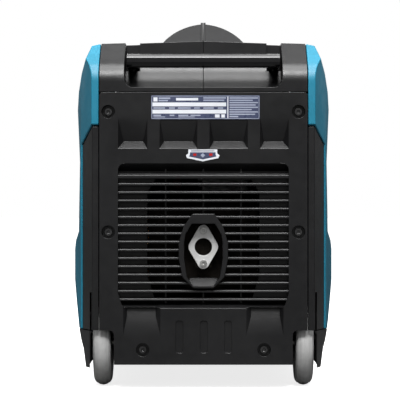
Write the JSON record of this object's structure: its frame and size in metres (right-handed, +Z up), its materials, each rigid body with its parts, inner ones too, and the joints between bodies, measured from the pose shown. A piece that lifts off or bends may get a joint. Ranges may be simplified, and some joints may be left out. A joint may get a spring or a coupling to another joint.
{
  "type": "inverter generator",
  "caption": "Closed-case petrol inverter generator on two wheels with a pull-up trolley grip, carry handle, rear exhaust outlet and front control panel.",
  "frame": {"origin": "on the floor under the middle of the machine", "axes": "+X to the right when facing the exhaust end, +Y from the exhaust end to the control end, +Z up"},
  "size_m": [0.454, 0.666, 0.653],
  "materials": {
    "black_plastic": "fine texture",
    "teal_plastic": "satin",
    "dark_panel": "fine texture",
    "tyre_grey": "matte",
    "foot_rubber": "matte",
    "gloss_black": "gloss",
    "black_tube": "gloss",
    "steel_zinc": "zinc plated",
    "screw_black": "black oxide",
    "flange_alloy": "cast, satin",
    "muffler_steel": "heat stained",
    "label": "film",
    "cast_alloy": "cast",
    "engine_iron": "cast",
    "copper_winding": "varnished",
    "tank_plastic": "moulded",
    "blue_cover": "satin",
    "grey_cover": "satin",
    "red_plastic": "gloss",
    "glass": "dark window",
    "brass": "bright"
  },
  "bodies": {
    "chassis": {"air_cleaner": "tank_plastic", "axle": "steel_zinc", "base_tray": "black_plastic", "battery": "dark_panel", "carburettor": "cast_alloy", "casing_left": "black_plastic", "casing_right": "black_plastic", "control_panel": "dark_panel", "corner_inserts_front": "black_plastic", "corner_inserts_rear": "black_plastic", "cover_screws": "screw_black", "cylinder_head": "cast_alloy", "dc_outlet": "gloss_black", "display": "glass", "earth_terminal": "brass", "engine_block": "cast_alloy", "engine_mounts": "foot_rubber", "exhaust_flange": "flange_alloy", "exhaust_flange_screws": "steel_zinc", "exhaust_surround": "black_plastic", "front_cover": "black_plastic", "front_feet": "foot_rubber", "fuel_tank": "tank_plastic", "inverter_module": "cast_alloy", "labels": "label", "muffler": "muffler_steel", "rear_cover": "black_plastic", "recoil_bezel": "black_plastic", "recoil_housing": "black_tube", "service_hinge_pins": "steel_zinc", "side_panel_left": "teal_plastic", "side_panel_right": "teal_plastic", "socket_main": "blue_cover", "sockets": "grey_cover", "spark_arrestor": "muffler_steel", "spark_plug": "foot_rubber", "stator": "copper_winding", "trolley_guides": "dark_panel"},
    "trolley": {"trolley_grip": "gloss_black", "trolley_legs": "black_tube"},
    "wheel_left": {"tyre_left": "tyre_grey", "hub_left": "dark_panel"},
    "wheel_right": {"tyre_right": "tyre_grey", "hub_right": "dark_panel"},
    "crank": {"crankshaft": "steel_zinc", "flywheel": "engine_iron"},
    "fuel_cap": {"fuel_cap": "black_plastic"},
    "vent_knob": {"vent_knob": "gloss_black"},
    "engine_switch": {"engine_switch": "gloss_black"},
    "start_button": {"start_button": "red_plastic"},
    "eco_switch": {"eco_switch": "gloss_black"},
    "choke_knob": {"choke_knob": "gloss_black"},
    "breaker_left": {"breaker_button_left": "gloss_black"},
    "breaker_right": {"breaker_button_right": "gloss_black"},
    "socket_cover_left": {"socket_cover_left": "grey_cover"},
    "socket_cover_right": {"socket_cover_right": "grey_cover"},
    "socket_cover_main": {"socket_cover_main": "blue_cover"},
    "service_door": {"service_door": "teal_plastic"},
    "door_latch": {"door_latch": "dark_panel"},
    "recoil_handle": {"recoil_handle": "gloss_black"}
  },
  "joints": [
    {"name": "trolley_slide", "type": "slide", "parent": "chassis", "child": "trolley", "axis": [0, 0, 1], "range_m": [0, 0.32]},
    {"name": "wheel_left_spin", "type": "hinge", "parent": "chassis", "child": "wheel_left", "pos_m": [-0.176, -0.246, 0.075], "axis": [1, 0, 0], "continuous": true},
    {"name": "wheel_right_spin", "type": "hinge", "parent": "chassis", "child": "wheel_right", "pos_m": [0.176, -0.246, 0.075], "axis": [1, 0, 0], "continuous": true},
    {"name": "crank_spin", "type": "hinge", "parent": "chassis", "child": "crank", "pos_m": [0, -0.02, 0.189], "axis": [1, 0, 0], "continuous": true},
    {"name": "fuel_cap_turn", "type": "hinge", "parent": "chassis", "child": "fuel_cap", "pos_m": [0, 0.204, 0.609], "axis": [0, 0, 1], "range_deg": [0, 90]},
    {"name": "vent_knob_turn", "type": "hinge", "parent": "fuel_cap", "child": "vent_knob", "pos_m": [0, 0.204, 0.639], "axis": [0, 0, 1], "range_deg": [0, 90]},
    {"name": "engine_switch_turn", "type": "hinge", "parent": "chassis", "child": "engine_switch", "pos_m": [-0.11, 0.318, 0.361], "axis": [0, 1, 0], "range_deg": [0, 90]},
    {"name": "start_button_press", "type": "slide", "parent": "chassis", "child": "start_button", "axis": [0, -1, 0], "range_m": [0, 0.003], "stiffness_N_per_m": 600, "springref_m": -0.002},
    {"name": "eco_switch_rock", "type": "hinge", "parent": "chassis", "child": "eco_switch", "pos_m": [-0.052, 0.317, 0.434], "axis": [1, 0, 0], "range_deg": [-16, 0]},
    {"name": "choke_pull", "type": "slide", "parent": "chassis", "child": "choke_knob", "axis": [0, 1, 0], "range_m": [0, 0.02]},
    {"name": "breaker_left_trip", "type": "slide", "parent": "chassis", "child": "breaker_left", "axis": [0, 1, 0], "range_m": [0, 0.004]},
    {"name": "breaker_right_trip", "type": "slide", "parent": "chassis", "child": "breaker_right", "axis": [0, 1, 0], "range_m": [0, 0.004]},
    {"name": "service_door_swing", "type": "hinge", "parent": "chassis", "child": "service_door", "pos_m": [0.2227, 0.1245, 0.361], "axis": [0, 0, 1], "range_deg": [0, 110]},
    {"name": "door_latch_turn", "type": "hinge", "parent": "service_door", "child": "door_latch", "pos_m": [0.22, -0.065, 0.361], "axis": [1, 0, 0], "range_deg": [0, 90]},
    {"name": "recoil_pull", "type": "slide", "parent": "chassis", "child": "recoil_handle", "axis": [-1, 0, 0], "range_m": [0, 0.5], "stiffness_N_per_m": 20, "springref_m": -0.3},
    {"name": "socket_cover_left_lift", "type": "hinge", "parent": "chassis", "child": "socket_cover_left", "pos_m": [0.014, 0.3257, 0.3545], "axis": [1, 0, 0], "range_deg": [0, 110], "stiffness_Nm_per_rad": 0.02, "springref_deg": -57.3},
    {"name": "socket_cover_right_lift", "type": "hinge", "parent": "chassis", "child": "socket_cover_right", "pos_m": [0.088, 0.3257, 0.3545], "axis": [1, 0, 0], "range_deg": [0, 110], "stiffness_Nm_per_rad": 0.02, "springref_deg": -57.3},
    {"name": "socket_cover_main_lift", "type": "hinge", "parent": "chassis", "child": "socket_cover_main", "pos_m": [0.096, 0.3257, 0.462], "axis": [1, 0, 0], "range_deg": [0, 110], "stiffness_Nm_per_rad": 0.02, "springref_deg": -57.3}
  ]
}
